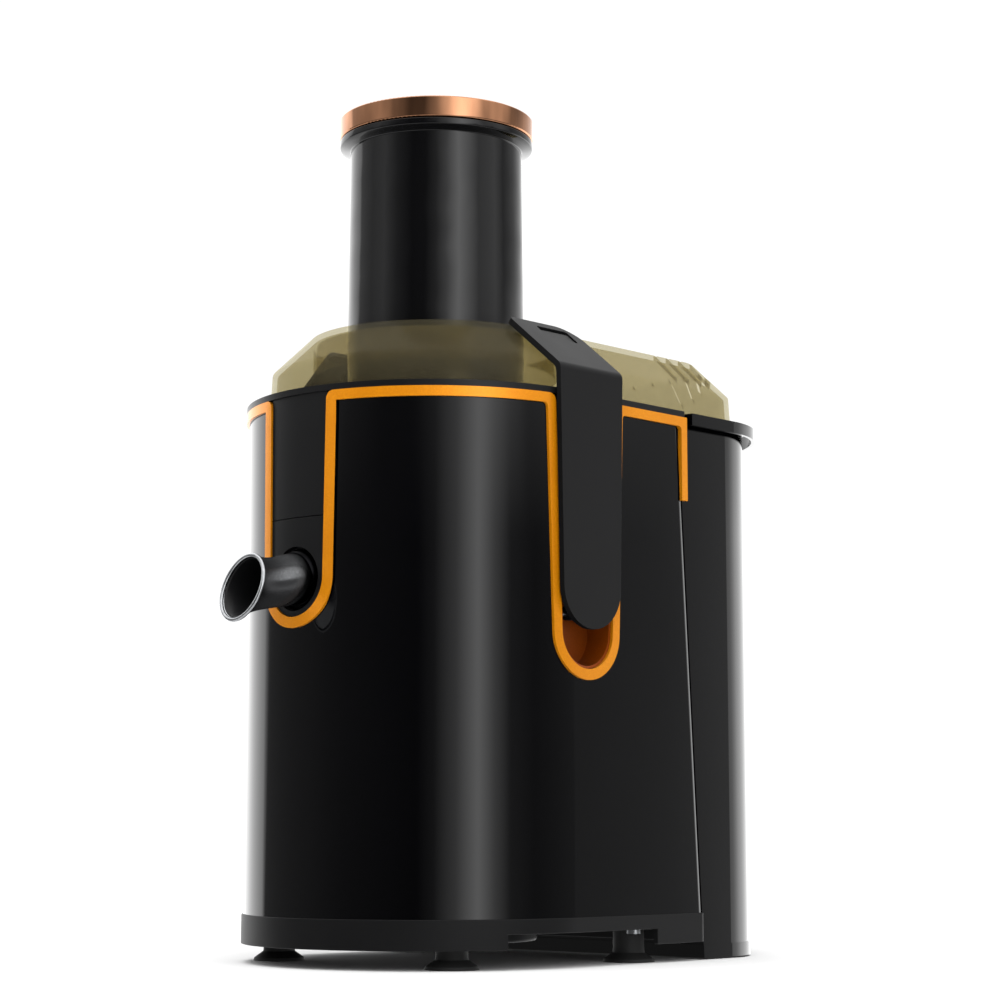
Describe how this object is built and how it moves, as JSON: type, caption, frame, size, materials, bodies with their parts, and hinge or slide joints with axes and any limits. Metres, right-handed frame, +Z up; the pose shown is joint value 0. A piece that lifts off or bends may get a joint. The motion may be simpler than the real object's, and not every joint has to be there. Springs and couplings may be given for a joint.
{
  "type": "centrifugal juicer",
  "caption": "Tall centrifugal juicer with a wide feed chute and pusher, smoked lid held by side clamps, tilting steel spout, inner filter basket and motor, and a rear pulp bin.",
  "frame": {"origin": "on the table under the middle of the machine's bounding box", "axes": "+Z up, -Y to the front where the spout is, +Y to the back where the pulp bin is, +X to the machine's own left seen from behind, which is the right-hand side seen from the front"},
  "size_m": [0.1964, 0.3226, 0.425],
  "materials": {
    "gloss_black_abs": "moulded gloss black ABS",
    "matte_black_pp": "fine satin black polypropylene",
    "orange_trim": "satin metallic orange lacquer on ABS",
    "smoked_clear": "smoked clear polycarbonate, gloss",
    "polished_steel": "polished stainless steel",
    "copper_ring": "polished rose copper plating",
    "brushed_steel": "brushed stainless steel",
    "black_rubber": "soft matte rubber",
    "zinc_steel": "zinc-plated steel",
    "lamination_steel": "stacked electrical steel",
    "enamelled_copper": "enamelled copper wire",
    "cast_aluminium": "die-cast aluminium",
    "grey_nylon": "glass-filled nylon",
    "carbon": "pressed carbon",
    "circuit_board": "green solder mask",
    "black_phenolic": "moulded phenolic"
  },
  "bodies": {
    "base": {"motor_housing": "gloss_black_abs", "trim_band": "orange_trim", "base_tray": "matte_black_pp", "inlet_cover": "matte_black_pp", "cord_gland": "black_rubber", "feet": "black_rubber", "foot_screws": "zinc_steel", "housing_screws": "zinc_steel", "bowl_seat": "matte_black_pp", "seat_screws": "zinc_steel", "spout_panel": "matte_black_pp", "juice_bowl": "matte_black_pp", "spout_seal": "black_rubber", "clamp_pocket_left": "orange_trim", "clamp_pocket_right": "orange_trim", "clamp_pins": "zinc_steel", "lid": "smoked_clear", "feed_chute": "gloss_black_abs", "lid_catches": "matte_black_pp", "shaft_seal": "black_rubber", "stator_core": "lamination_steel", "field_coils": "enamelled_copper", "upper_bearing": "brushed_steel", "lower_bearing": "brushed_steel", "upper_bracket": "cast_aluminium", "lower_bracket": "cast_aluminium", "motor_spacers": "zinc_steel", "motor_screws": "zinc_steel", "rubber_mounts": "black_rubber", "brush_holders": "black_phenolic", "carbon_brushes": "carbon", "brush_springs": "zinc_steel", "control_board": "circuit_board", "terminal_block": "grey_nylon", "speed_switch": "black_phenolic", "interlock_switch": "black_phenolic"},
    "drive": {"motor_shaft": "brushed_steel", "rotor_core": "lamination_steel", "rotor_windings": "enamelled_copper", "commutator": "enamelled_copper", "cooling_fan": "grey_nylon", "drive_coupling": "grey_nylon", "basket_base": "matte_black_pp", "basket_rim": "matte_black_pp", "filter_mesh": "brushed_steel", "grater_disc": "brushed_steel"},
    "pusher_unit": {"pusher": "gloss_black_abs", "pusher_cap": "matte_black_pp", "pusher_ring": "copper_ring"},
    "left_clamp": {"clamp_left": "matte_black_pp"},
    "right_clamp": {"clamp_right": "matte_black_pp"},
    "pouring_spout": {"spout": "polished_steel"},
    "speed_control": {"speed_knob": "matte_black_pp"},
    "waste_bin": {"pulp_bin": "gloss_black_abs"},
    "plunger": {"interlock_plunger": "grey_nylon"}
  },
  "joints": [
    {"name": "drive_spin", "type": "hinge", "parent": "base", "child": "drive", "pos_m": [0, -0.0291, 0.2], "axis": [0, 0, 1], "continuous": true},
    {"name": "pusher_slide", "type": "slide", "parent": "base", "child": "pusher_unit", "axis": [0, 0, 1], "range_m": [0, 0.19]},
    {"name": "left_clamp_swing", "type": "hinge", "parent": "base", "child": "left_clamp", "pos_m": [-0.091, -0.0204, 0.166], "axis": [0, -1, 0], "range_deg": [0, 65]},
    {"name": "right_clamp_swing", "type": "hinge", "parent": "base", "child": "right_clamp", "pos_m": [0.091, -0.0204, 0.166], "axis": [0, 1, 0], "range_deg": [0, 65]},
    {"name": "spout_tilt", "type": "hinge", "parent": "base", "child": "pouring_spout", "pos_m": [0, -0.1181, 0.1831], "axis": [-1, 0, 0], "range_deg": [0, 15]},
    {"name": "speed_turn", "type": "hinge", "parent": "base", "child": "speed_control", "pos_m": [-0.09, -0.0091, 0.088], "axis": [-1, 0, 0], "range_deg": [0, 120]},
    {"name": "bin_slide", "type": "slide", "parent": "base", "child": "waste_bin", "axis": [0, 1, 0], "range_m": [0, 0.12]},
    {"name": "plunger_slide", "type": "slide", "parent": "base", "child": "plunger", "axis": [1, 0, 0], "range_m": [0, 0.0025]}
  ],
  "couplings": [
    {"joint": "plunger_slide", "follows": "right_clamp_swing", "m_per_rad": 0.0022}
  ]
}
